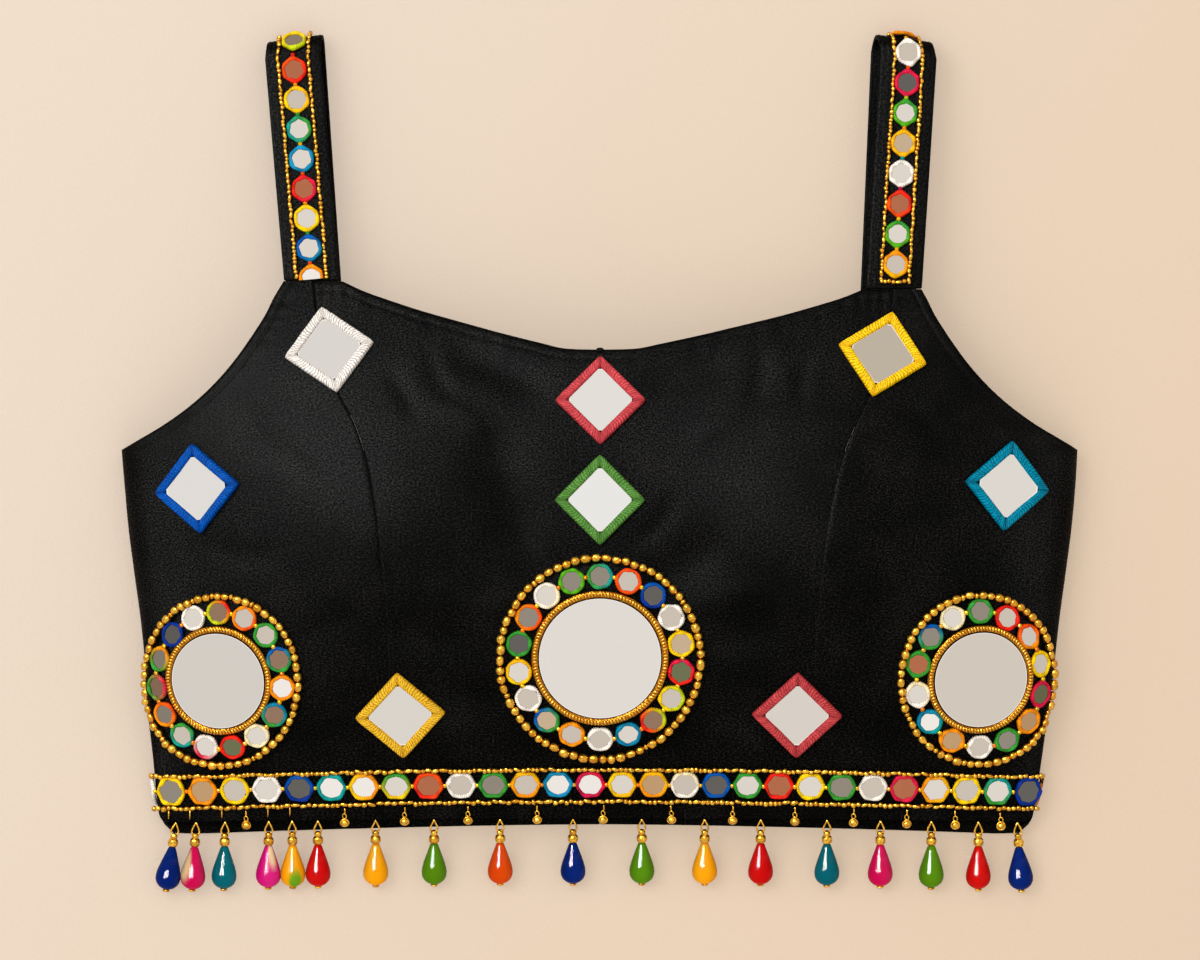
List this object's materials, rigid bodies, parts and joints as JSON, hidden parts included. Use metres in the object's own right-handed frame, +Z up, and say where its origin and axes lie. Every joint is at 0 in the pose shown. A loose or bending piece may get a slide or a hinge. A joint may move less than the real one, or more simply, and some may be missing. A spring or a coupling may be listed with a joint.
{
  "type": "choli blouse",
  "caption": "Sleeveless cropped choli blouse with wide straps, decorated with mirrors, bead rows and a fringe of teardrop drops along the hem, lying face up.",
  "frame": {"origin": "middle of the blouse's bounding box, on the surface that it lies on", "axes": "+X across the blouse from its left side as seen to its right, +Y from the hem to the straps, +Z up off the surface, the way the front faces"},
  "size_m": [0.4386, 0.3949, 0.0557],
  "materials": {
    "black_cloth": "matt black cotton with a fine weave and a faint sheen",
    "strap_cloth": "matt black cotton, folded and topstitched",
    "thread_white": "satin thread wound closely round a bar",
    "thread_yellow": "satin thread wound closely round a bar",
    "thread_crimson": "satin thread wound closely round a bar",
    "thread_green": "satin thread wound closely round a bar",
    "thread_blue": "satin thread wound closely round a bar",
    "thread_teal": "satin thread wound closely round a bar",
    "thread_ochre": "satin thread wound closely round a bar",
    "thread_pink": "satin thread wound closely round a bar",
    "mirror": "silvered glass, slightly tarnished",
    "framed_mirrors": "small mirrors in satin thread frames of many colours",
    "gold_beads": "polished gilt beads",
    "drop_navy": "glossy moulded bead with gilt caps",
    "drop_pink": "glossy moulded bead with gilt caps",
    "drop_teal": "glossy moulded bead with gilt caps",
    "drop_magenta": "glossy moulded bead with gilt caps",
    "drop_amber": "glossy moulded bead with gilt caps",
    "drop_red": "glossy moulded bead with gilt caps",
    "drop_green": "glossy moulded bead with gilt caps",
    "drop_orange": "glossy moulded bead with gilt caps"
  },
  "bodies": {
    "root": {"front_centre": "black_cloth", "front_side_left": "black_cloth", "front_side_right": "black_cloth", "back_left": "black_cloth", "back_right": "black_cloth", "strap_left": "strap_cloth", "strap_right": "strap_cloth", "diamond_frame_white": "thread_white", "diamond_mirror_white": "mirror", "diamond_frame_yellow": "thread_yellow", "diamond_mirror_yellow": "mirror", "diamond_frame_crimson": "thread_crimson", "diamond_mirror_crimson": "mirror", "diamond_frame_green": "thread_green", "diamond_mirror_green": "mirror", "diamond_frame_blue": "thread_blue", "diamond_mirror_blue": "mirror", "diamond_frame_teal": "thread_teal", "diamond_mirror_teal": "mirror", "diamond_frame_ochre": "thread_ochre", "diamond_mirror_ochre": "mirror", "diamond_frame_pink": "thread_pink", "diamond_mirror_pink": "mirror", "medallion_centre_mirror": "mirror", "medallion_centre_bezel": "gold_beads", "medallion_centre_chain": "framed_mirrors", "medallion_centre_beads": "gold_beads", "medallion_left_mirror": "mirror", "medallion_left_bezel": "gold_beads", "medallion_left_chain": "framed_mirrors", "medallion_left_beads": "gold_beads", "medallion_right_mirror": "mirror", "medallion_right_bezel": "gold_beads", "medallion_right_chain": "framed_mirrors", "medallion_right_beads": "gold_beads", "hem_band_mirrors": "framed_mirrors", "hem_band_beads_upper": "gold_beads", "hem_band_beads_lower": "gold_beads", "strap_left_mirrors": "framed_mirrors", "strap_left_beads": "gold_beads", "strap_right_mirrors": "framed_mirrors", "strap_right_beads": "gold_beads", "drop_01": "drop_navy", "drop_02": "drop_pink", "drop_03": "drop_teal", "drop_04": "drop_magenta", "drop_05": "drop_amber", "drop_06": "drop_red", "drop_07": "drop_amber", "drop_08": "drop_green", "drop_09": "drop_orange", "drop_10": "drop_navy", "drop_11": "drop_green", "drop_12": "drop_amber", "drop_13": "drop_red", "drop_14": "drop_teal", "drop_15": "drop_pink", "drop_16": "drop_green", "drop_17": "drop_red", "drop_18": "drop_navy"}
  },
  "joints": []
}
